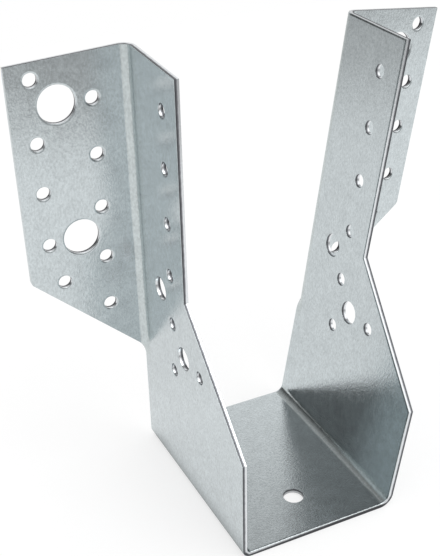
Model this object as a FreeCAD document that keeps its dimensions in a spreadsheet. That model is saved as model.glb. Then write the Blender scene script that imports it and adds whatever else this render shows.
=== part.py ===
import FreeCAD
import Part
import Sketcher
import math
import os

# Joist hanger, punched and folded from one blank of galvanised steel sheet, in millimetres.
# A joist rests on the seat between two legs. Each leg's back edge folds outwards into a flange
# that lies against the header. The hanger has been handled, so the legs have opened a little
# and the flanges are swung back, more on the right than on the left. Its top edges aren't
# quite square to the folds either.
# Origin: middle of the seat's underside. +X to the right leg, +Y to the header, +Z up.

sizes = {
    # sheet
    "sheetGauge": 2.0,
    # seat and legs: heights run up a leg's inner face from the seat, depths forward from the header
    "seatWidth": 60.0,
    "seatDepth": 81.0,
    "legHeight": 162.5,
    "frontEdgeHeight": 41.0,
    "taperTopHeight": 82.5,
    "strapWidth": 38.5,
    # the top edges fall away from each fold, outwards to the flange's corner at the leg height
    # and forwards to the strap's corner
    "leftFlangeTopFall": 1.15,
    "rightFlangeTopFall": 0.5,
    "leftStrapTopFall": 1.05,
    "rightStrapTopFall": 0.1,
    # each leg's back edge leans forward by this much from the seat to the lower end of the fold
    "leftBackTaper": 0.1,
    "rightBackTaper": 1.2,
    # flanges: reach runs outwards from the leg's inner face
    "flangeReach": 44.5,
    "flangeCornerHeight": 83.0,
    "flangeCornerRadius": 2.5,
    # folds: inner radii; the flange's fold fades into the flat leg below it, and the greater the
    # sharpness, the sooner it has opened out
    "flangeFoldRadius": 3.0,
    "foldLowerEnd": 46.2,
    "foldFadeLength": 8.0,
    "foldFadeSharpness": 2.5,
    "leftSeatBendRadius": 1.5,
    "rightSeatBendRadius": 3.5,
    # degrees each leg leans out from square, and each flange is swung back from square
    "leftSplay": 0.95,
    "rightSplay": 7.1,
    "leftSwing": 1.2,
    "rightSwing": 5.7,
    # hole diameters
    "nailHole": 5.0,
    "legBoltHole": 9.0,
    "flangeBoltHole": 13.4,
    "seatHole": 7.8,
    # nail row up each leg
    "legNailTopDrop": 13.5,
    "legNailPitch": 20.2,
    "legNailEdgeInset": 11.0,
    # single holes low on each leg
    "legSingleNailHeight": 57.8,
    "legSingleNailDepth": 49.0,
    "legUpperBoltHeight": 78.5,
    "legUpperBoltDepth": 18.5,
    "legLowerBoltHeight": 58.0,
    "legLowerBoltDepth": 36.0,
    # nail column beside the fold of each flange
    "innerNailTopDrop": 15.0,
    "innerNailPitch": 20.0,
    "innerNailReach": 15.5,
    "innerNailEdgeClearance": 6.0,
    # nail column along the outer edge of each flange: drops from the top, rises about the corner
    "outerNailEdgeInset": 8.5,
    "outerNailDropA": 5.5,
    "outerNailDropB": 27.5,
    "outerNailDropC": 45.5,
    "outerNailRise": 14.0,
    "cornerNailDrop": 2.0,
    "cornerNailReach": 32.0,
    # bolt holes of each flange: shifts outwards from midway between the nail columns, and steps
    # of the inner column's pitch from its top nail down to the lower bolt
    "upperBoltDrop": 15.0,
    "upperBoltShift": 2.25,
    "lowerBoltSteps": 2.5,
    "lowerBoltShift": -1.75,
    # single hole in the seat
    "seatHoleFrontInset": 19.0,
}

# widths that only have to clear the sheet they cut
overrun = 20.0

# how far down its fade the fold's bend is drawn, as shares of the fade's length
fadeSteps = (0.0, 0.2, 0.4, 0.65)

sides = ("left", "right")
outward = {"left": "-1", "right": "1"}

doc = FreeCAD.newDocument("joistHanger")
sheet = doc.addObject("Spreadsheet::Sheet", "sizes")
for row, (name, value) in enumerate(sizes.items(), start=1):
    sheet.set("A%d" % row, name)
    sheet.set("B%d" % row, str(value))
    sheet.setAlias("B%d" % row, name)
doc.recompute()

body = doc.addObject("PartDesign::Body", "joistHanger")
body.Label = "joist_hanger"


def formula(text):
    # each size's name becomes a reference to its cell
    words = []
    for word in text.split():
        words.append("sizes." + word if word in sizes else word)
    return " ".join(words)


def addSketch(name, role, origin, turn):
    # origin and turn place the sketch in the axes of the body's own plane
    sketch = body.newObject("Sketcher::SketchObject", name)
    plane = next(feature for feature in body.Origin.OriginFeatures if feature.Role == role)
    sketch.AttachmentSupport = (plane, [""])
    sketch.MapMode = "FlatFace"
    place = "placement( vector( %s ; %s ; %s ) ; rotation( %s ; %s ; %s ) )" % (*origin, *turn)
    sketch.setExpression("AttachmentOffset", formula(place))
    return sketch


def bind(sketch, kind, *picks, drawn, to):
    # a dimension of the sketch: it starts at the value that is drawn, then follows the sheet
    index = sketch.addConstraint(Sketcher.Constraint(kind, *picks, drawn))
    sketch.setExpression("Constraints[%d]" % index, formula(to))


def placePoint(sketch, geometry, point, across, up):
    drawn = sketch.getPoint(geometry, point)
    bind(sketch, "DistanceX", -1, 1, geometry, point, drawn=drawn.x, to=across)
    bind(sketch, "DistanceY", -1, 1, geometry, point, drawn=drawn.y, to=up)


def addOutline(sketch, corners):
    # a closed outline of straight edges, one corner for each pair of formulas
    count = len(corners)
    ring = []
    for corner in range(count):
        angle = 2 * math.pi * corner / count
        ring.append(FreeCAD.Vector(math.cos(angle), math.sin(angle), 0))
    for edge in range(count):
        sketch.addGeometry(Part.LineSegment(ring[edge], ring[(edge + 1) % count]))
    for edge in range(count):
        sketch.addConstraint(Sketcher.Constraint("Coincident", edge, 2, (edge + 1) % count, 1))
    for edge, (across, up) in enumerate(corners):
        placePoint(sketch, edge, 1, across, up)


def addHoles(sketch, diameter, centres):
    for across, up in centres:
        circle = Part.Circle(FreeCAD.Vector(0, 0, 0), FreeCAD.Vector(0, 0, 1), 1)
        hole = sketch.addGeometry(circle)
        placePoint(sketch, hole, 3, across, up)
        bind(sketch, "Diameter", hole, drawn=2.0, to=diameter)


def cutThrough(name, sketch):
    # cut both ways from the sheet's inner skin, far enough for the sheet and no further
    pocket = body.newObject("PartDesign::Pocket", name)
    pocket.Profile = sketch
    pocket.SideType = "Symmetric"
    pocket.setExpression("Length", formula("4 * sheetGauge"))
    doc.recompute()
    body.Tip = pocket
    return pocket


def repeatDown(name, feature, sketch, pitch, count):
    # copies step down the sketch's upright axis
    pattern = body.newObject("PartDesign::LinearPattern", name)
    pattern.Originals = [feature]
    pattern.Direction = (sketch, ["V_Axis"])
    pattern.Reversed = True
    pattern.Mode = "Spacing"
    pattern.setExpression("Offset", formula(pitch))
    pattern.setExpression("Occurrences", formula(count))
    doc.recompute()
    body.Tip = pattern


def roundEdges(name, radius, picked):
    # picked tells which edges of the solid so far are rounded
    base = body.Tip
    edges = []
    for number, edge in enumerate(base.Shape.Edges, start=1):
        if picked(edge):
            edges.append("Edge%d" % number)
    fillet = body.newObject("PartDesign::Fillet", name)
    fillet.Base = (base, edges)
    fillet.setExpression("Radius", formula(radius))
    doc.recompute()
    body.Tip = fillet


# Places that the two sides share

def legSketch(side, name):
    # on the leg's inner face: across is minus the depth from the header, up is height on the leg
    origin = ("seatDepth / 2", "sheetGauge", outward[side] + " * seatWidth / 2")
    turn = ("0", "0", "%s * %sSplay" % (outward[side], side))
    return addSketch(side + name, "YZ_Plane", origin, turn)


def sectionSketch(side, name, height):
    # square across the leg at a height: across is outwards from its inner face, up is to the header
    splay = side + "Splay"
    origin = (
        "%s * ( seatWidth / 2 + ( %s ) * sin( %s ) )" % (outward[side], height, splay),
        "seatDepth / 2",
        "sheetGauge + ( %s ) * cos( %s )" % (height, splay),
    )
    pitch = {"left": "180 - leftSplay", "right": "rightSplay"}[side]
    return addSketch(side + name, "XY_Plane", origin, ("0", pitch, "0"))


foldOuter = "( flangeFoldRadius + sheetGauge )"
foldTop = {side: "( legHeight + %sFlangeTopFall )" % side for side in sides}


def flangeSketch(side, name):
    # on the flange's back face: across is reach from the leg's inner face, up is height on the leg
    splay = side + "Splay"
    swing = side + "Swing"
    out = "%s * ( 1 - sin( %s ) - cos( %s ) )" % (foldOuter, swing, swing)
    depth = "%s * ( 1 - cos( %s ) + sin( %s ) )" % (foldOuter, swing, swing)
    origin = (
        "%s * ( seatWidth / 2 + %s * cos( %s ) )" % (outward[side], out, splay),
        "sheetGauge - %s * sin( %s )" % (out, splay),
        "%s - seatDepth / 2" % depth,
    )
    yaw = {"left": "leftSplay", "right": "0 - rightSplay"}[side]
    pitch = {"left": "180 - leftSwing", "right": "rightSwing"}[side]
    return addSketch(side + name, "XZ_Plane", origin, (yaw, pitch, "0"))


# Seat and legs: one U of sheet with square corners, as deep as the seat

def addChannel():
    sketch = addSketch("channelSection", "XZ_Plane", ("0", "0", "0"), ("0", "0", "0"))
    corners = {}
    for side in sides:
        splay = side + "Splay"
        sign = outward[side]
        inner = "%s * ( seatWidth / 2 + %s * sin( %s ) )" % (sign, foldTop[side], splay)
        innerTop = "sheetGauge + %s * cos( %s )" % (foldTop[side], splay)
        outer = "%s + %s * sheetGauge * cos( %s )" % (inner, sign, splay)
        outerTop = "%s - sheetGauge * sin( %s )" % (innerTop, splay)
        heelOut = "sheetGauge * ( 1 - sin( %s ) ) / cos( %s )" % (splay, splay)
        heel = "%s * ( seatWidth / 2 + %s )" % (sign, heelOut)
        foot = "%s * seatWidth / 2" % sign
        corners[side] = [(foot, "sheetGauge"), (inner, innerTop), (outer, outerTop), (heel, "0")]
    addOutline(sketch, corners["left"] + corners["right"][::-1])
    channel = body.newObject("PartDesign::Pad", "channel")
    channel.Profile = sketch
    channel.SideType = "Symmetric"
    channel.setExpression("Length", formula("seatDepth"))
    doc.recompute()
    body.Tip = channel


def runsAlongSeat(edge, side, height):
    # the straight edge at the foot of a leg, on the seat's upper or lower face
    box = edge.BoundBox
    across = {"left": -1, "right": 1}[side] * box.Center.x - sizes["seatWidth"] / 2
    level = abs(box.Center.z - height) < 1e-6 and box.ZLength < 1e-6
    return level and box.XLength < 1e-6 and -1e-6 < across < 2 * sizes["sheetGauge"]


def roundSeatBends():
    for side in sides:
        inner = side + "SeatBendRadius"
        upper = sizes["sheetGauge"]
        outer = inner + " + sheetGauge"
        roundEdges(side + "BendInside", inner, lambda edge: runsAlongSeat(edge, side, upper))
        roundEdges(side + "BendOutside", outer, lambda edge: runsAlongSeat(edge, side, 0.0))


# Leg outline: a narrow strap above, tapering out to the full depth of the seat. Its back edge
# leans forward up to the fold, and is open behind the strap where the fold takes over

def trimLeg(side):
    over = str(overrun)
    sketch = legSketch(side, "StrapOutline")
    addOutline(sketch, [
        ("0 - seatDepth", "frontEdgeHeight"),
        ("0 - strapWidth", "taperTopHeight"),
        ("0 - strapWidth", "%s - %sStrapTopFall" % (foldTop[side], side)),
        ("0 - " + foldOuter, foldTop[side]),
        ("0 - " + foldOuter, "legHeight + " + over),
        ("0 - seatDepth - " + over, "legHeight + " + over),
        ("0 - seatDepth - " + over, "frontEdgeHeight"),
    ])
    cutThrough(side + "StrapTrim", sketch)
    sketch = legSketch(side, "BackOutline")
    fadeEnd = "foldLowerEnd - foldFadeLength"
    addOutline(sketch, [
        ("0 - " + foldOuter, fadeEnd),
        ("0 - %sBackTaper" % side, fadeEnd),
        ("0", side + "SeatBendRadius"),
        (over, side + "SeatBendRadius"),
        (over, "legHeight + " + over),
        ("0 - " + foldOuter, "legHeight + " + over),
    ])
    cutThrough(side + "BackTrim", sketch)


# Sheet bent outwards from the leg's back edge, drawn square across the leg: two arcs on one
# centre, the root edge that they grow from, and either a plain end or the flat flange

def addBend(sketch, outerRadius, guess):
    # guess is the outer radius and the bend's degrees that the sketch starts from
    radius, degrees = guess
    gauge = sizes["sheetGauge"]
    depth = sizes["flangeFoldRadius"] + gauge
    centre = FreeCAD.Vector(radius, -depth, 0)
    arcs = []
    for size in (radius - gauge, radius):
        circle = Part.Circle(centre, FreeCAD.Vector(0, 0, 1), size)
        arcs.append(sketch.addGeometry(Part.ArcOfCircle(circle, math.radians(180 - degrees), math.pi)))
    inner, outer = arcs
    rootEnds = [FreeCAD.Vector(gauge, -depth, 0), FreeCAD.Vector(0, -depth, 0)]
    root = sketch.addGeometry(Part.LineSegment(*rootEnds))
    sketch.addConstraint(Sketcher.Constraint("Coincident", inner, 3, outer, 3))
    sketch.addConstraint(Sketcher.Constraint("Coincident", inner, 2, root, 1))
    sketch.addConstraint(Sketcher.Constraint("Coincident", outer, 2, root, 2))
    placePoint(sketch, outer, 3, outerRadius, "0 - " + foldOuter)
    placePoint(sketch, root, 2, "0", "0 - " + foldOuter)
    placePoint(sketch, root, 1, "sheetGauge", "0 - " + foldOuter)
    return inner, outer


def arcEnd(sketch, arc):
    return sketch.getPoint(arc, 1)


def endBend(sketch, inner, outer, bend, degrees):
    # a plain end, square to the sheet
    line = Part.LineSegment(arcEnd(sketch, inner), arcEnd(sketch, outer))
    end = sketch.addGeometry(line)
    sketch.addConstraint(Sketcher.Constraint("Coincident", inner, 1, end, 1))
    sketch.addConstraint(Sketcher.Constraint("Coincident", outer, 1, end, 2))
    sketch.addConstraint(Sketcher.Constraint("PointOnObject", outer, 3, end))
    bind(sketch, "Angle", end, drawn=math.radians(180 - degrees), to="180 - " + bend)


def addFlat(sketch, inner, outer, side):
    # the flat flange runs on from the bend, past its own reach, and is trimmed back later
    swing = math.radians(sizes[side + "Swing"])
    length = sizes["flangeReach"] - sizes["flangeFoldRadius"]
    run = FreeCAD.Vector(length * math.cos(swing), length * math.sin(swing), 0)
    starts = [arcEnd(sketch, inner), arcEnd(sketch, outer)]
    front, back = [sketch.addGeometry(Part.LineSegment(start, start + run)) for start in starts]
    edge = sketch.addGeometry(Part.LineSegment(starts[0] + run, starts[1] + run))
    sketch.addConstraint(Sketcher.Constraint("Tangent", inner, 1, front, 1))
    sketch.addConstraint(Sketcher.Constraint("Tangent", outer, 1, back, 1))
    sketch.addConstraint(Sketcher.Constraint("Coincident", front, 2, edge, 1))
    sketch.addConstraint(Sketcher.Constraint("Coincident", back, 2, edge, 2))
    sketch.addConstraint(Sketcher.Constraint("Parallel", front, back))
    sketch.addConstraint(Sketcher.Constraint("Perpendicular", back, edge))
    bind(sketch, "Angle", back, drawn=swing, to=side + "Swing")
    bind(sketch, "Distance", back, drawn=length, to="flangeReach - flangeFoldRadius")


def addFlange(side):
    # fold and flange run up the strap from the fold's lower end to the top
    sketch = sectionSketch(side, "FlangeSection", "foldLowerEnd")
    outerRadius = sizes["flangeFoldRadius"] + sizes["sheetGauge"]
    inner, outer = addBend(sketch, foldOuter, (outerRadius, 90 - sizes[side + "Swing"]))
    addFlat(sketch, inner, outer, side)
    flange = body.newObject("PartDesign::Pad", side + "Flange")
    flange.Profile = sketch
    flange.Reversed = side == "left"
    flange.setExpression("Length", formula(foldTop[side] + " - foldLowerEnd"))
    doc.recompute()
    body.Tip = flange


def trimFlange(side):
    # the lower edge climbs outwards from the end of the fold to the outer corner, and the top
    # edge falls outwards from the top of the fold
    over = str(overrun)
    sketch = flangeSketch(side, "FlangeOutline")
    addOutline(sketch, [
        (foldOuter, "foldLowerEnd"),
        ("flangeReach", "flangeCornerHeight"),
        ("flangeReach", "legHeight"),
        (foldOuter, foldTop[side]),
        (foldOuter, "legHeight + " + over),
        ("flangeReach + " + over, "legHeight + " + over),
        ("flangeReach + " + over, "foldLowerEnd - " + over),
        (foldOuter, "foldLowerEnd - " + over),
    ])
    cutThrough(side + "FlangeTrim", sketch)
    cornerHeight = sizes["flangeCornerHeight"]
    toSketch = sketch.Placement.inverse()

    def atCorner(edge):
        spot = toSketch.multVec(edge.CenterOfMass)
        near = abs(spot.x - sizes["flangeReach"]) < 1e-3 and abs(spot.y - cornerHeight) < 1e-3
        return near and len(edge.Vertexes) == 2 and edge.Length < 1.5 * sizes["sheetGauge"]

    roundEdges(side + "FlangeCorner", "flangeCornerRadius", atCorner)


def fadeFold(side):
    # below its lower end the fold opens out into the flat back edge of the leg: bend and length
    # of sheet both ease from the fold's to the edge's
    fullBend = "( 90 - %sSwing )" % side
    foldSheet = "( flangeFoldRadius + sheetGauge / 2 ) * %s * pi / 180" % fullBend
    edgeSheet = "( %s - %sBackTaper )" % (foldOuter, side)
    sections = []
    for step in fadeSteps:
        left = (1 - step) ** sizes["foldFadeSharpness"]
        share = "( 1 - %s ) ^ foldFadeSharpness" % step
        bend = "( %s * %s )" % (fullBend, share)
        sheetLength = "( %s + ( %s - %s ) * %s )" % (edgeSheet, foldSheet, edgeSheet, share)
        outerRadius = "%s / ( %s * pi / 180 ) + sheetGauge / 2" % (sheetLength, bend)
        degrees = (90 - sizes[side + "Swing"]) * left
        drawnRadius = (sizes["flangeFoldRadius"] + sizes["sheetGauge"]) / left
        name = "Fade%d" % (len(sections) + 1)
        sketch = sectionSketch(side, name, "foldLowerEnd - foldFadeLength * %s" % step)
        inner, outer = addBend(sketch, outerRadius, (drawnRadius, degrees))
        endBend(sketch, inner, outer, bend, degrees)
        sections.append(sketch)
    flat = sectionSketch(side, "FadeEnd", "foldLowerEnd - foldFadeLength")
    addOutline(flat, [
        ("sheetGauge", "0 - %sBackTaper" % side),
        ("sheetGauge", "0 - " + foldOuter),
        ("0", "0 - " + foldOuter),
        ("0", "0 - %sBackTaper" % side),
    ])
    fade = body.newObject("PartDesign::AdditiveLoft", side + "FoldFade")
    fade.Profile = sections[0]
    fade.Sections = sections[1:] + [flat]
    doc.recompute()
    body.Tip = fade


# Holes

def punchLeg(side):
    rowDepth = "legNailEdgeInset - strapWidth"
    sketch = legSketch(side, "LegNailTop")
    addHoles(sketch, "nailHole", [(rowDepth, "legHeight - legNailTopDrop")])
    nail = cutThrough(side + "LegNail", sketch)
    count = "floor( ( legHeight - legNailTopDrop - frontEdgeHeight ) / legNailPitch ) + 1"
    repeatDown(side + "LegNailRow", nail, sketch, "legNailPitch", count)
    sketch = legSketch(side, "LegSingleNailHole")
    addHoles(sketch, "nailHole", [("0 - legSingleNailDepth", "legSingleNailHeight")])
    cutThrough(side + "LegSingleNail", sketch)
    sketch = legSketch(side, "LegBoltHoles")
    addHoles(sketch, "legBoltHole", [
        ("0 - legUpperBoltDepth", "legUpperBoltHeight"),
        ("0 - legLowerBoltDepth", "legLowerBoltHeight"),
    ])
    cutThrough(side + "LegBolts", sketch)


def punchFlange(side):
    slant = "( flangeCornerHeight - foldLowerEnd ) / ( flangeReach - %s )" % foldOuter
    edgeHeight = "foldLowerEnd + ( innerNailReach - %s ) * %s" % (foldOuter, slant)
    nailTop = "legHeight - innerNailTopDrop"
    sketch = flangeSketch(side, "InnerNailTop")
    addHoles(sketch, "nailHole", [("innerNailReach", nailTop)])
    nail = cutThrough(side + "InnerNail", sketch)
    room = "%s - innerNailEdgeClearance - ( %s )" % (nailTop, edgeHeight)
    count = "floor( ( %s ) / innerNailPitch ) + 1" % room
    repeatDown(side + "InnerNailColumn", nail, sketch, "innerNailPitch", count)
    outerReach = "flangeReach - outerNailEdgeInset"
    sketch = flangeSketch(side, "OuterNailHoles")
    addHoles(sketch, "nailHole", [
        (outerReach, "legHeight - outerNailDropA"),
        (outerReach, "legHeight - outerNailDropB"),
        (outerReach, "legHeight - outerNailDropC"),
        (outerReach, "flangeCornerHeight + outerNailRise"),
        ("cornerNailReach", "flangeCornerHeight - cornerNailDrop"),
    ])
    cutThrough(side + "OuterNails", sketch)
    middle = "( innerNailReach + %s ) / 2" % outerReach
    sketch = flangeSketch(side, "FlangeBoltHoles")
    addHoles(sketch, "flangeBoltHole", [
        (middle + " + upperBoltShift", "legHeight - upperBoltDrop"),
        (middle + " + lowerBoltShift", "%s - lowerBoltSteps * innerNailPitch" % nailTop),
    ])
    cutThrough(side + "FlangeBolts", sketch)


def punchSeat():
    sketch = addSketch("seatHoleSketch", "XY_Plane", ("0", "0", "sheetGauge"), ("0", "0", "0"))
    addHoles(sketch, "seatHole", [("0", "seatHoleFrontInset - seatDepth / 2")])
    cutThrough("seatHolePunch", sketch)


addChannel()
roundSeatBends()
for side in sides:
    trimLeg(side)
    addFlange(side)
    trimFlange(side)
    fadeFold(side)
    punchLeg(side)
    punchFlange(side)
punchSeat()
doc.recompute()

for item in doc.Objects:
    if "Invalid" in item.State or "Error" in item.State:
        raise RuntimeError("%s did not build" % item.Name)
if body.Shape.isNull() or not body.Shape.isValid() or len(body.Shape.Solids) != 1:
    raise RuntimeError("the folded sheet is not one sound solid")

box = body.Shape.BoundBox
print("volume %.1f mm3" % body.Shape.Volume)
print("box %.2f %.2f %.2f to %.2f %.2f %.2f" % (box.XMin, box.YMin, box.ZMin, box.XMax, box.YMax, box.ZMax))
print("faces %d" % len(body.Shape.Faces))

os.makedirs("parts", exist_ok=True)
body.Shape.exportStep("parts/%s.step" % body.Label)
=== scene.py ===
import math

import bmesh
import bpy
from mathutils import Matrix, Vector
from mathutils.bvhtree import BVHTree


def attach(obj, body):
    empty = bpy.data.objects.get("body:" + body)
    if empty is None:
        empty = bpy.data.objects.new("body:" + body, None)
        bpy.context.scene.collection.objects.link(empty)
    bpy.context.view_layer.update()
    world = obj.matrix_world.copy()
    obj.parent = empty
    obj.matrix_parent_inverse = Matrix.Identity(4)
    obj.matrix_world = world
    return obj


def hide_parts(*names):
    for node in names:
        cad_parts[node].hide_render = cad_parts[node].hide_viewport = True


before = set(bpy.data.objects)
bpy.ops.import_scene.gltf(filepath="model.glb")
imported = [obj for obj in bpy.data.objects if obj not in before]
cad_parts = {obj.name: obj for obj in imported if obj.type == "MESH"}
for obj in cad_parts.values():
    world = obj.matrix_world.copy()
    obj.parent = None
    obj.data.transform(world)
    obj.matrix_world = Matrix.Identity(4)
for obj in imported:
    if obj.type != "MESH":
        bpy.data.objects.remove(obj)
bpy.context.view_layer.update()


# Folded sheet: the frame's own shape, with the rims that shearing and punching leave

foldedSheet = {
    "gauge": 0.002,
    "sharpAngle": 50.0,       # degrees; facets of the folds meet at less
    "facetAngle": 0.6,        # degrees; flat facets that meet at less become one
    "creaseAngle": 30.0,      # degrees; corners of the cut edges stay crisp
    "flatArea": 0.0004,       # square metres; a plane with more is a flat, the rest is fold
    "punchRoll": 0.00070,     # rim of a hole where the punch went in, on the outer skin
    "shearRoll": 0.00080,     # rim of the blank where the shear went in, on the joist's side
    "rollDepth": 0.32,        # how deep both rolls go, as a share of their width
    "rollSteps": 4,
    "burr": 0.00010,          # the rims where either tool came out
    "burrSteps": 2,
}

mergeReach = 1e-6             # points nearer than this are one
skinReach = 1e-5              # a point nearer than this lies on a surface
foldReach = 3e-6
roundShare = 0.2              # a wall whose normals cancel to less than this goes all round a hole
sidewaysNormal = 0.9          # a cut face that points more sideways than this is the strip's own edge


def smoothGroups(bm, limit):
    # faces that run into each other without a sharp edge, largest group first
    seen = set()
    groups = []
    for seed in bm.faces:
        if seed in seen:
            continue
        seen.add(seed)
        group = [seed]
        for face in group:
            for edge in face.edges:
                if len(edge.link_faces) != 2 or edge.calc_face_angle() > limit:
                    continue
                for other in edge.link_faces:
                    if other not in seen:
                        seen.add(other)
                        group.append(other)
        groups.append(group)
    return sorted(groups, key=lambda group: -totalArea(group))


def totalArea(faces):
    return sum(face.calc_area() for face in faces)


def turnedArea(faces):
    return sum((face.normal * face.calc_area() for face in faces), Vector())


def makeTree(faces):
    coords = []
    polygons = []
    for face in faces:
        polygons.append(range(len(coords), len(coords) + len(face.verts)))
        coords.extend(vert.co.copy() for vert in face.verts)
    return BVHTree.FromPolygons(coords, polygons)


def liesOn(tree, point, reach=skinReach):
    return tree.find_nearest(point)[3] < reach


def allOn(tree, verts):
    return all(liesOn(tree, vert.co) for vert in verts)


def findFolds(skins, flatArea):
    planes = {}
    for group in skins:
        for face in group:
            key = tuple(round(part, 2) for part in face.normal)
            planes.setdefault(key, []).append(face)
    folds = []
    for faces in planes.values():
        if totalArea(faces) < flatArea:
            folds.extend(faces)
    return folds


def findSurfaces(bm, limit, flatArea):
    groups = smoothGroups(bm, limit)
    # the two largest are the skins, and the outer one faces down under the seat
    skins = sorted(groups[:2], key=lambda group: turnedArea(group).z)
    walls = groups[2:]
    holes = [wall for wall in walls if turnedArea(wall).length < roundShare * totalArea(wall)]
    return {
        "outer": makeTree(skins[0]),
        "inner": makeTree(skins[1]),
        "hole": makeTree(face for wall in holes for face in wall),
        "cut": makeTree(face for wall in walls for face in wall),
        "fold": makeTree(findFolds(skins, flatArea)),
    }


def roundRims(bm, limit, surfaces, side, ofHole, width, steps, depth=1.0):
    skin = surfaces[side]
    edges = []
    for edge in bm.edges:
        if len(edge.link_faces) != 2 or edge.calc_face_angle() <= limit:
            continue
        if allOn(skin, edge.verts) and allOn(surfaces["hole"], edge.verts) == ofHole:
            edges.append(edge)
    made = bmesh.ops.bevel(bm, geom=edges, offset=width, offset_type="OFFSET", segments=steps, profile=0.5,
                           affect="EDGES", clamp_overlap=False)
    # a roll is shallower than it is wide, so its points move back towards the skin
    for vert in made["verts"]:
        _, normal, _, away = skin.find_nearest(vert.co)
        vert.co += normal * away * (1 - depth)
    return len(edges)


def markCuts(bm, surfaces, gauge):
    # how far the tool had come: a punch starts on the outer skin, the shear on the joist's side
    cut = bm.verts.layers.float.new("cutDepth")
    bent = bm.loops.layers.float.new("bent")
    for vert in bm.verts:
        height = surfaces["inner"].find_nearest(vert.co)[3] / gauge
        vert[cut] = 1 - height if liesOn(surfaces["hole"], vert.co) else height
    for face in bm.faces:
        face.smooth = True
        stripEdge = abs(face.normal.x) > sidewaysNormal    # came off the coil, so no tool has cut it
        isCut = allOn(surfaces["cut"], face.verts)
        isHole = isCut and allOn(surfaces["hole"], face.verts)
        face.material_index = 1 if isHole or isCut and not stripEdge else 0
        inSkin = face.material_index == 0
        inFold = inSkin and liesOn(surfaces["fold"], face.calc_center_median(), foldReach)
        for loop in face.loops:
            loop[bent] = 1.0 if inFold else 0.0


def makeSheet(node, look, skinSteel, cutSteel):
    bm = bmesh.new()
    bm.from_mesh(node.data)
    bmesh.ops.remove_doubles(bm, verts=bm.verts, dist=mergeReach)
    limit = math.radians(look["sharpAngle"])
    surfaces = findSurfaces(bm, limit, look["flatArea"])
    bmesh.ops.dissolve_limit(bm, angle_limit=math.radians(look["facetAngle"]), verts=bm.verts, edges=bm.edges)

    depth = look["rollDepth"]
    punched = roundRims(bm, limit, surfaces, "outer", True, look["punchRoll"], look["rollSteps"], depth)
    sheared = roundRims(bm, limit, surfaces, "inner", False, look["shearRoll"], look["rollSteps"], depth)
    burred = roundRims(bm, limit, surfaces, "outer", False, look["burr"], look["burrSteps"])
    burred += roundRims(bm, limit, surfaces, "inner", True, look["burr"], look["burrSteps"])
    crease = math.radians(look["creaseAngle"])
    for edge in bm.edges:
        edge.smooth = len(edge.link_faces) == 2 and edge.calc_face_angle() < crease
    markCuts(bm, surfaces, look["gauge"])

    mesh = bpy.data.meshes.new("foldedSheet")
    bm.to_mesh(mesh)
    bm.free()
    mesh.materials.append(skinSteel)
    mesh.materials.append(cutSteel)
    sheet = bpy.data.objects.new("foldedSheet", mesh)
    bpy.context.scene.collection.objects.link(sheet)
    shading = sheet.modifiers.new("flatFaces", "WEIGHTED_NORMAL")
    shading.weight = 100
    shading.keep_sharp = True
    print("sheet: rims", punched, sheared, burred, "faces", len(mesh.polygons))
    return sheet


# Nodes that every finish is built from

def newMaterial(name):
    mat = bpy.data.materials.new(name)
    mat.use_nodes = True
    mat.node_tree.nodes.clear()
    return mat


def addNode(tree, kind, at, **values):
    node = tree.nodes.new(kind)
    node.location = at
    for name, value in values.items():
        if name in node.inputs:
            node.inputs[name].default_value = value
        else:
            setattr(node, name, value)
    return node


def feed(tree, socket, value):
    # a number or a colour is set, and another node's output is linked
    if isinstance(value, bpy.types.NodeSocket):
        tree.links.new(value, socket)
    else:
        socket.default_value = value


def addNoise(tree, at, place, size, detail, roughness=0.5):
    noise = addNode(tree, "ShaderNodeTexNoise", at, Scale=size, Detail=detail, Roughness=roughness)
    feed(tree, noise.inputs["Vector"], place)
    return noise.outputs["Fac"]


def addMath(tree, at, operation, first, second, clamp=False):
    node = addNode(tree, "ShaderNodeMath", at, operation=operation, use_clamp=clamp)
    feed(tree, node.inputs[0], first)
    feed(tree, node.inputs[1], second)
    return node.outputs[0]


def addRange(tree, at, value, start, end=(0.0, 1.0)):
    # turns start's two values into end's two, and stops there
    node = addNode(tree, "ShaderNodeMapRange", at)
    names = ("Value", "From Min", "From Max", "To Min", "To Max")
    for name, level in zip(names, (value, *start, *end)):
        feed(tree, node.inputs[name], level)
    return node.outputs["Result"]


def addRamp(tree, at, value, stops):
    node = addNode(tree, "ShaderNodeValToRGB", at)
    elements = node.color_ramp.elements
    for position, colour in stops[1:-1]:
        elements.new(position).color = colour
    for element, stop in ((elements[0], stops[0]), (elements[-1], stops[-1])):
        element.position, element.color = stop
    feed(tree, node.inputs["Fac"], value)
    return node.outputs["Color"]


def addBump(tree, at, height, strength, distance):
    node = addNode(tree, "ShaderNodeBump", at, Strength=strength, Distance=distance)
    feed(tree, node.inputs["Height"], height)
    return node


def addMetal(tree, colour, roughness, normal):
    metal = addNode(tree, "ShaderNodeBsdfPrincipled", (800, 0), Metallic=1.0)
    out = addNode(tree, "ShaderNodeOutputMaterial", (1100, 0))
    feed(tree, metal.inputs["Base Color"], colour)
    feed(tree, metal.inputs["Roughness"], roughness)
    feed(tree, metal.inputs["Normal"], normal)
    feed(tree, out.inputs["Surface"], metal.outputs["BSDF"])


def grey(level):
    return (level, level, level, 1.0)


# Galvanised steel

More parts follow.
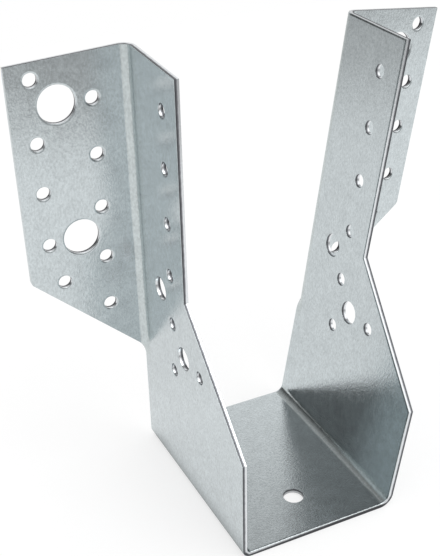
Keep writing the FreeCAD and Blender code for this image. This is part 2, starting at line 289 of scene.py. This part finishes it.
galvanised = {
    "colour": (0.618, 0.670, 0.686),
    "shade": 0.79,            # darker grains, as a share of the colour
    "grainSpan": (0.30, 0.62),    # the noise from its dark grains to its light ones
    "roughness": 0.19,
    "roughnessSpread": 0.05,
    "foldRoughness": 0.05,    # what bending adds, and takes from the colour
    "foldTint": (0.96, 0.965, 0.95, 1.0),
    "grainSize": 1500.0,      # noise cells to the metre
    "grainStretch": 0.55,     # along the sheet's rolling, which runs up the legs
    "mottleSize": 240.0,
    "mottleSpan": (0.3, 0.7),
    "mottleTone": (0.94, 1.05),
    "waveSize": 22.0,
    "waveBump": 0.05,
    "waveHeight": 0.001,
    "grainBump": 0.42,
    "grainHeight": 0.0001,
}


def makeGalvanised(name, look):
    mat = newMaterial(name)
    tree = mat.node_tree
    place = addNode(tree, "ShaderNodeTexCoord", (-1100, 0)).outputs["Object"]
    along = addNode(tree, "ShaderNodeMapping", (-1000, 200), Scale=(1, 1, look["grainStretch"]))
    feed(tree, along.inputs["Vector"], place)
    grain = addNoise(tree, (-800, 100), along.outputs["Vector"], look["grainSize"], 3.0, 0.6)
    mottle = addNoise(tree, (-800, -200), place, look["mottleSize"], 4.0, 0.55)
    wave = addNoise(tree, (-800, -500), place, look["waveSize"], 1.0)
    bent = addNode(tree, "ShaderNodeAttribute", (-400, -600), attribute_name="bent").outputs["Fac"]

    low, high = look["grainSpan"]
    dark = [channel * look["shade"] for channel in look["colour"]]
    tone = addRamp(tree, (-400, 250), grain, ((low, (*dark, 1.0)), (high, (*look["colour"], 1.0))))
    patches = addRange(tree, (-400, -50), mottle, look["mottleSpan"], look["mottleTone"])
    tint = addNode(tree, "ShaderNodeVectorMath", (0, 150), operation="SCALE")
    feed(tree, tint.inputs[0], tone)
    feed(tree, tint.inputs["Scale"], patches)
    worn = addNode(tree, "ShaderNodeMix", (300, 150), data_type="RGBA", blend_type="MULTIPLY")
    feed(tree, worn.inputs[0], bent)
    feed(tree, worn.inputs[6], tint.outputs["Vector"])
    feed(tree, worn.inputs[7], look["foldTint"])

    half = look["roughnessSpread"] / 2
    ends = (look["roughness"] - half, look["roughness"] + half)
    flatRough = addRange(tree, (-400, -300), mottle, look["mottleSpan"], ends)
    bentRough = addMath(tree, (-200, -600), "MULTIPLY", bent, look["foldRoughness"])
    rough = addMath(tree, (0, -300), "ADD", flatRough, bentRough)

    waves = addBump(tree, (100, -500), wave, look["waveBump"], look["waveHeight"])
    grains = addBump(tree, (400, -400), grain, look["grainBump"], look["grainHeight"])
    feed(tree, grains.inputs["Normal"], waves.outputs["Normal"])
    addMetal(tree, worn.outputs[2], rough, grains.outputs["Normal"])
    return mat


# Cut edges: burnished where the tool went in, torn and duller beyond it, and nearly black deepest in, which
# is partly torn steel and partly painted shade

cutEdge = {
    "burnished": (0.74, 0.76, 0.78, 1.0),
    "torn": (0.20, 0.205, 0.22, 1.0),
    # nearly black: partly the deepest torn steel, partly painted shade in the walls of the holes
    "deepTornAndShade": (0.085, 0.088, 0.094, 1.0),
    "roughness": (0.22, 0.42),    # where burnished, and where torn
    "tornStart": 0.50,        # shares of the sheet's gauge
    "deepStart": 0.74,
    "blur": 0.07,
    "ragged": 0.10,
    "raggedSize": 600.0,      # noise cells to the metre
    "bump": 0.2,
    "bumpHeight": 0.0001,
}


def makeCutEdge(name, look):
    mat = newMaterial(name)
    tree = mat.node_tree
    place = addNode(tree, "ShaderNodeTexCoord", (-1100, 0)).outputs["Object"]
    depth = addNode(tree, "ShaderNodeAttribute", (-800, 200), attribute_name="cutDepth").outputs["Fac"]
    ragged = addNoise(tree, (-800, -100), place, look["raggedSize"], 3.0)
    drift = addRange(tree, (-500, -100), ragged, (0.0, 1.0), (-look["ragged"], look["ragged"]))
    edge = addMath(tree, (-250, 100), "ADD", depth, drift)

    torn = (look["tornStart"] - look["blur"], look["tornStart"] + look["blur"])
    deep = (look["deepStart"] - look["blur"], look["deepStart"] + look["blur"])
    # the last stop paints shade into the deepest part of every cut edge, as well as torn steel
    tone = addRamp(tree, (0, 150), edge, (
        (torn[0], look["burnished"]),
        (torn[1], look["torn"]),
        (deep[0], look["torn"]),
        (deep[1], look["deepTornAndShade"]),
    ))
    rough = addRange(tree, (300, -100), edge, torn, look["roughness"])
    bump = addBump(tree, (400, -300), ragged, look["bump"], look["bumpHeight"])
    addMetal(tree, tone, rough, bump.outputs["Normal"])
    return mat


steel = makeGalvanised("galvanisedSheet", galvanised)
shearedSteel = makeCutEdge("shearedEdge", cutEdge)
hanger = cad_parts["joist_hanger"]
for slot in hanger.material_slots:
    slot.material = steel
sheet = makeSheet(hanger, foldedSheet, steel, shearedSteel)
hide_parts("joist_hanger")
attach(sheet, "root")
print("hanger finished")


def findSight(tree, at):
    # 1 for what the camera sees directly, in steel or through it, and 1 for what steel alone sees
    path = addNode(tree, "ShaderNodeLightPath", (at[0] - 400, at[1]))
    seen = path.outputs["Is Camera Ray"]
    mirrored = path.outputs["Is Glossy Ray"]
    seen = addMath(tree, (at[0] - 200, at[1]), "ADD", seen, mirrored, clamp=True)
    seen = addMath(tree, at, "ADD", seen, path.outputs["Is Transmission Ray"], clamp=True)
    return seen, mirrored


# Floor

paleFloor = {
    "corners": ((-0.70, -0.60), (-0.12, -0.60), (0.03, -0.298), (0.12, -0.292),
                (0.20, -0.300), (0.70, -0.31), (0.70, 0.55), (-0.70, 0.55)),
    "height": -0.0002,
    "colour": (0.95, 0.95, 0.95, 1.0),
    "white": 0.65,            # share of plain white in what is seen of the floor; the rest is lit
    "shade": 0.10,            # painted shadow: what steel sees of the floor's white glow is dimmer behind the hanger
    "shadeSpan": (0.045, 0.080),    # metres back from the seat's middle
    "contact": 0.006,         # and a painted contact shadow makes that glow dark this close to where the hanger stands
    "contactOpen": (0.3, 1.0),
}


def makeFloor(look):
    mesh = bpy.data.meshes.new("floor")
    corners = [(x, y, look["height"]) for x, y in look["corners"]]
    mesh.from_pydata(corners, [], [range(len(corners))])
    floor = bpy.data.objects.new("floor", mesh)
    bpy.context.scene.collection.objects.link(floor)
    mat = newMaterial("paleFloor")
    tree = mat.node_tree
    seen, mirrored = findSight(tree, (-300, 200))
    share = addMath(tree, (-100, 200), "MULTIPLY", seen, look["white"])

    place = addNode(tree, "ShaderNodeTexCoord", (-900, -200)).outputs["Object"]
    back = addNode(tree, "ShaderNodeVectorMath", (-700, -200), operation="DOT_PRODUCT")
    feed(tree, back.inputs[0], place)
    feed(tree, back.inputs[1], (0, 1, 0))
    # painted shadow of the hanger on the floor's glow, as steel sees it: dimmer behind it and dark close
    # around its feet
    paintedShadeBehind = addRange(tree, (-500, -200), back.outputs["Value"], look["shadeSpan"], (1.0, 1.0 - look["shade"]))
    contact = addNode(tree, "ShaderNodeAmbientOcclusion", (-700, -450), samples=8, Distance=look["contact"])
    paintedContactShade = addRange(tree, (-500, -450), contact.outputs["AO"], look["contactOpen"])
    paintedShadow = addMath(tree, (-300, -300), "MULTIPLY", paintedShadeBehind, paintedContactShade)
    level = addNode(tree, "ShaderNodeMix", (-100, -200), data_type="FLOAT")
    feed(tree, level.inputs[0], mirrored)
    feed(tree, level.inputs[2], 1.0)
    feed(tree, level.inputs[3], paintedShadow)

    matt = addNode(tree, "ShaderNodeBsdfDiffuse", (100, 100), Color=look["colour"])
    white = addNode(tree, "ShaderNodeEmission", (100, -100), Color=grey(1.0))
    feed(tree, white.inputs["Strength"], level.outputs[0])
    mix = addNode(tree, "ShaderNodeMixShader", (400, 0))
    feed(tree, mix.inputs["Fac"], share)
    feed(tree, mix.inputs[1], matt.outputs[0])
    feed(tree, mix.inputs[2], white.outputs[0])
    out = addNode(tree, "ShaderNodeOutputMaterial", (600, 0))
    feed(tree, out.inputs["Surface"], mix.outputs[0])
    mesh.materials.append(mat)


# Room: white to the camera, an even fill on what is lit, and in the steel what a studio shows it.
# A pair is the part of a direction, from -1 to 1, at which that light starts and is full:
# up for Drop, Rise, Top and Foot, back for the other turns, and across for the wing's turn.

room = {
    "fill": 0.96,
    "belowFront": 0.48,       # what steel sees past the table, in front and behind
    "belowBack": 0.80,
    "belowDrop": (-0.03, -0.30),
    "belowTurn": (0.0, 0.4),
    "aboveFront": 1.35,       # the lamp's screen, overhead and in front
    "aboveTurn": (0.10, -0.08),
    "backRise": (-0.1, 0.5),
    "frontRise": (0.10, 0.45),
    "leftWing": 0.07,         # a dark board low at the left
    "wingTurn": (-0.22, -0.52),
    "wingTop": (0.65, 0.25),
    "wingFoot": (-0.14, -0.01),
    "window": (0.4, 0.75, -0.3),
    "windowRamp": ((0.0, 0.18), (0.11, 0.22), (0.22, 0.42), (0.45, 0.56),
                   (0.490, 0.57), (0.512, 0.84), (0.53, 1.04), (0.62, 1.1)),
}


def makeRoom(look):
    world = bpy.data.worlds.new("studio")
    bpy.context.scene.world = world
    world.use_nodes = True
    tree = world.node_tree
    tree.nodes.clear()
    towards = addNode(tree, "ShaderNodeTexCoord", (-1200, -300)).outputs["Generated"]
    axes = addNode(tree, "ShaderNodeSeparateXYZ", (-1000, -600))
    feed(tree, axes.inputs[0], towards)
    across, back, up = axes.outputs

    def blend(at, share, first, second, kind="RGBA"):
        node = addNode(tree, "ShaderNodeMix", at, data_type=kind)
        start = 6 if kind == "RGBA" else 2
        feed(tree, node.inputs[0], share)
        feed(tree, node.inputs[start], first)
        feed(tree, node.inputs[start + 1], second)
        return node.outputs[2 if kind == "RGBA" else 0]

    window = addNode(tree, "ShaderNodeVectorMath", (-800, -100), operation="DOT_PRODUCT")
    feed(tree, window.inputs[0], towards)
    feed(tree, window.inputs[1], Vector(look["window"]).normalized())
    stops = [(position, grey(level)) for position, level in look["windowRamp"]]
    windowLight = addRamp(tree, (-600, -100), window.outputs["Value"], stops)
    inFront = addRange(tree, (-800, -400), back, look["aboveTurn"])
    above = blend((-200, -100), inFront, windowLight, grey(look["aboveFront"]))

    drop = addRange(tree, (-800, -1000), up, look["belowDrop"])
    behind = addRange(tree, (-800, -1300), back, look["belowTurn"])
    belowShare = addMath(tree, (-500, -1100), "MULTIPLY", drop, behind)
    below = blend((-200, -1000), belowShare, grey(look["belowFront"]), grey(look["belowBack"]))

    backRise = addRange(tree, (-800, -600), up, look["backRise"])
    frontRise = addRange(tree, (-500, -700), up, look["frontRise"])
    rise = blend((-200, -500), inFront, backRise, frontRise, "FLOAT")
    sky = blend((0, -400), rise, below, above)

    wingSide = addRange(tree, (-800, -1600), across, look["wingTurn"])
    wingTop = addRange(tree, (-800, -1900), up, look["wingTop"])
    wingFoot = addRange(tree, (-800, -2200), up, look["wingFoot"])
    wing = addMath(tree, (-500, -1700), "MULTIPLY", wingSide, wingTop)
    wing = addMath(tree, (-200, -1800), "MULTIPLY", wing, wingFoot)
    mirroredRoom = blend((150, -400), wing, sky, grey(look["leftWing"]))

    white = addNode(tree, "ShaderNodeBackground", (350, 100), Color=grey(1.0))
    lit = addNode(tree, "ShaderNodeBackground", (350, 300), Color=grey(1.0), Strength=look["fill"])
    studio = addNode(tree, "ShaderNodeBackground", (350, -300))
    feed(tree, studio.inputs["Color"], mirroredRoom)
    seen, mirrored = findSight(tree, (100, 500))
    inSteel = addNode(tree, "ShaderNodeMixShader", (600, -100))
    feed(tree, inSteel.inputs["Fac"], mirrored)
    feed(tree, inSteel.inputs[1], white.outputs[0])
    feed(tree, inSteel.inputs[2], studio.outputs[0])
    seenOrLit = addNode(tree, "ShaderNodeMixShader", (800, 0))
    feed(tree, seenOrLit.inputs["Fac"], seen)
    feed(tree, seenOrLit.inputs[1], lit.outputs[0])
    feed(tree, seenOrLit.inputs[2], inSteel.outputs[0])
    out = addNode(tree, "ShaderNodeOutputWorld", (1000, 0))
    feed(tree, out.inputs["Surface"], seenOrLit.outputs[0])


# Lamp

softbox = {
    "power": 3.2,
    "size": 0.8,
    "place": (0.15, -0.40, 0.95),
    "aim": (0, 0, 0.05),
}


def makeLamp(look):
    data = bpy.data.lights.new("softbox", "AREA")
    data.energy = look["power"]
    data.size = look["size"]
    lamp = bpy.data.objects.new("softbox", data)
    lamp.location = look["place"]
    aim = Vector(look["aim"]) - Vector(look["place"])
    lamp.rotation_euler = aim.to_track_quat("-Z", "Y").to_euler()
    bpy.context.scene.collection.objects.link(lamp)


# Camera, as the photograph was taken

camera = {
    "place": (-0.16199, -0.27871, 0.27395),
    "azimuth": 24.886,        # degrees, clockwise from straight at the flanges
    "elevation": 34.076,
    "roll": -1.359,
    "frame": (440, 556),      # pixels
    "focal": 1048.54,         # in the frame's pixels
    "centre": (188.95, 351.24),
    "sensorHeight": 24.0,
}


def makeCamera(look):
    az, el, roll = (math.radians(look[name]) for name in ("azimuth", "elevation", "roll"))
    ahead = Vector((math.sin(az) * math.cos(el), math.cos(az) * math.cos(el), -math.sin(el)))
    right = Vector((math.cos(az), -math.sin(az), 0))
    up = right.cross(ahead)
    across = math.cos(roll) * right + math.sin(roll) * up
    above = math.cos(roll) * up - math.sin(roll) * right
    width, height = look["frame"]
    data = bpy.data.cameras.new("camera")
    data.sensor_fit = "VERTICAL"
    data.sensor_height = look["sensorHeight"]
    data.lens = look["focal"] * look["sensorHeight"] / height
    data.shift_x = (width / 2 - look["centre"][0]) / height
    data.shift_y = (look["centre"][1] - height / 2) / height
    data.clip_start = 0.01
    data.clip_end = 50
    cam = bpy.data.objects.new("camera", data)
    turn = Matrix((across, above, -ahead)).transposed().to_4x4()
    cam.matrix_world = Matrix.Translation(Vector(look["place"])) @ turn
    bpy.context.scene.collection.objects.link(cam)
    bpy.context.scene.camera = cam


makeFloor(paleFloor)
makeRoom(room)
makeLamp(softbox)
makeCamera(camera)
bpy.context.scene.view_settings.view_transform = "Standard"
print("studio ready")
